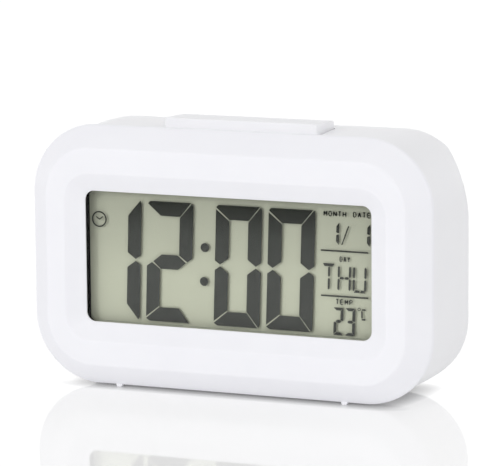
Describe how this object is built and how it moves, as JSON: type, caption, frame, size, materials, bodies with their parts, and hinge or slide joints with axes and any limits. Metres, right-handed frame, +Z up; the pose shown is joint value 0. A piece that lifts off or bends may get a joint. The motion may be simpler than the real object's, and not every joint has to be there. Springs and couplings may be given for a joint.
{
  "type": "digital alarm clock",
  "caption": "Free-standing digital alarm clock with a rounded rectangular case, a recessed segment display, a wide snooze bar on top, setting keys and a battery door on the back.",
  "frame": {"origin": "on the table, at the middle of the width and the depth, under the clock's feet", "axes": "+X to the right seen from the front, +Y from the display towards the back, +Z up"},
  "size_m": [0.134, 0.045, 0.085],
  "materials": {
    "white_case": "glossy white moulding",
    "white_housing": "fine spark texture, white",
    "clear_lens": "clear polished sheet",
    "black_foam": "black foam",
    "display_glass": "clear sheet with matt film",
    "dark_segments": "dark grey liquid crystal",
    "reflector_film": "matt grey-green film",
    "clear_guide": "clear acrylic",
    "lamp_resin": "yellowish resin",
    "holder_plastic": "plain white moulding",
    "contact_rubber": "striped grey silicone",
    "circuit_board": "green solder mask",
    "black_resin": "black potting resin",
    "crystal_can": "drawn steel can",
    "component_body": "brown ceramic",
    "spring_wire": "drawn spring wire",
    "switch_body": "black moulding",
    "plunger_plastic": "cream moulding",
    "key_plastic": "white moulding",
    "ribbon_sheath": "grey flat cable",
    "sounder_brass": "thin brass sheet",
    "sounder_ceramic": "silvered ceramic",
    "lead_sheath": "red sheath",
    "cell_can": "plain grey sleeve",
    "nickel_plate": "nickel-plated sheet",
    "screw_steel": "zinc-plated steel"
  },
  "bodies": {
    "housing": {"front_bezel": "white_case", "rear_housing": "white_housing", "window_lens": "clear_lens", "window_gasket": "black_foam", "display_front_glass": "display_glass", "display_segments": "dark_segments", "display_rear_glass": "display_glass", "display_reflector": "reflector_film", "backlight_guide": "clear_guide", "backlight_leds": "lamp_resin", "display_holder": "switch_body", "contact_strip": "contact_rubber", "main_board": "circuit_board", "chip_cover": "black_resin", "clock_crystal": "crystal_can", "board_components": "component_body", "temperature_sensor": "black_resin", "snooze_springs": "spring_wire", "snooze_carrier": "holder_plastic", "snooze_switch": "switch_body", "key_board": "circuit_board", "key_switches": "switch_body", "alarm_switch_body": "switch_body", "board_ribbon": "ribbon_sheath", "sounder_disc": "sounder_brass", "sounder_ceramic": "sounder_ceramic", "sounder_leads": "lead_sheath", "battery_cells": "cell_can", "battery_plates": "nickel_plate", "battery_springs": "spring_wire", "battery_leads": "lead_sheath", "case_screws": "screw_steel", "inner_screws": "screw_steel"},
    "snooze": {"snooze_bar": "white_case", "snooze_plunger": "plunger_plastic"},
    "mode_button": {"mode_key": "key_plastic", "mode_plunger": "plunger_plastic"},
    "set_button": {"set_key": "key_plastic", "set_plunger": "plunger_plastic"},
    "up_button": {"up_key": "key_plastic", "up_plunger": "plunger_plastic"},
    "down_button": {"down_key": "key_plastic", "down_plunger": "plunger_plastic"},
    "alarm_switch": {"alarm_switch_knob": "key_plastic"},
    "lid": {"battery_lid": "white_housing"}
  },
  "joints": [
    {"name": "snooze_press", "type": "slide", "parent": "housing", "child": "snooze", "axis": [0, 0, -1], "range_m": [0, 0.0012], "stiffness_N_per_m": 500, "springref_m": -0.002, "deforming": ["snooze_springs"]},
    {"name": "mode_press", "type": "slide", "parent": "housing", "child": "mode_button", "axis": [0, -1, 0], "range_m": [0, 0.0006], "stiffness_N_per_m": 400, "springref_m": -0.001},
    {"name": "set_press", "type": "slide", "parent": "housing", "child": "set_button", "axis": [0, -1, 0], "range_m": [0, 0.0006], "stiffness_N_per_m": 400, "springref_m": -0.001},
    {"name": "up_press", "type": "slide", "parent": "housing", "child": "up_button", "axis": [0, -1, 0], "range_m": [0, 0.0006], "stiffness_N_per_m": 400, "springref_m": -0.001},
    {"name": "down_press", "type": "slide", "parent": "housing", "child": "down_button", "axis": [0, -1, 0], "range_m": [0, 0.0006], "stiffness_N_per_m": 400, "springref_m": -0.001},
    {"name": "alarm_slide", "type": "slide", "parent": "housing", "child": "alarm_switch", "axis": [1, 0, 0], "range_m": [0, 0.003]},
    {"name": "lid_hinge", "type": "hinge", "parent": "housing", "child": "lid", "pos_m": [0, 0.0216, 0.0144], "axis": [-1, 0, 0], "range_deg": [0, 60]}
  ]
}
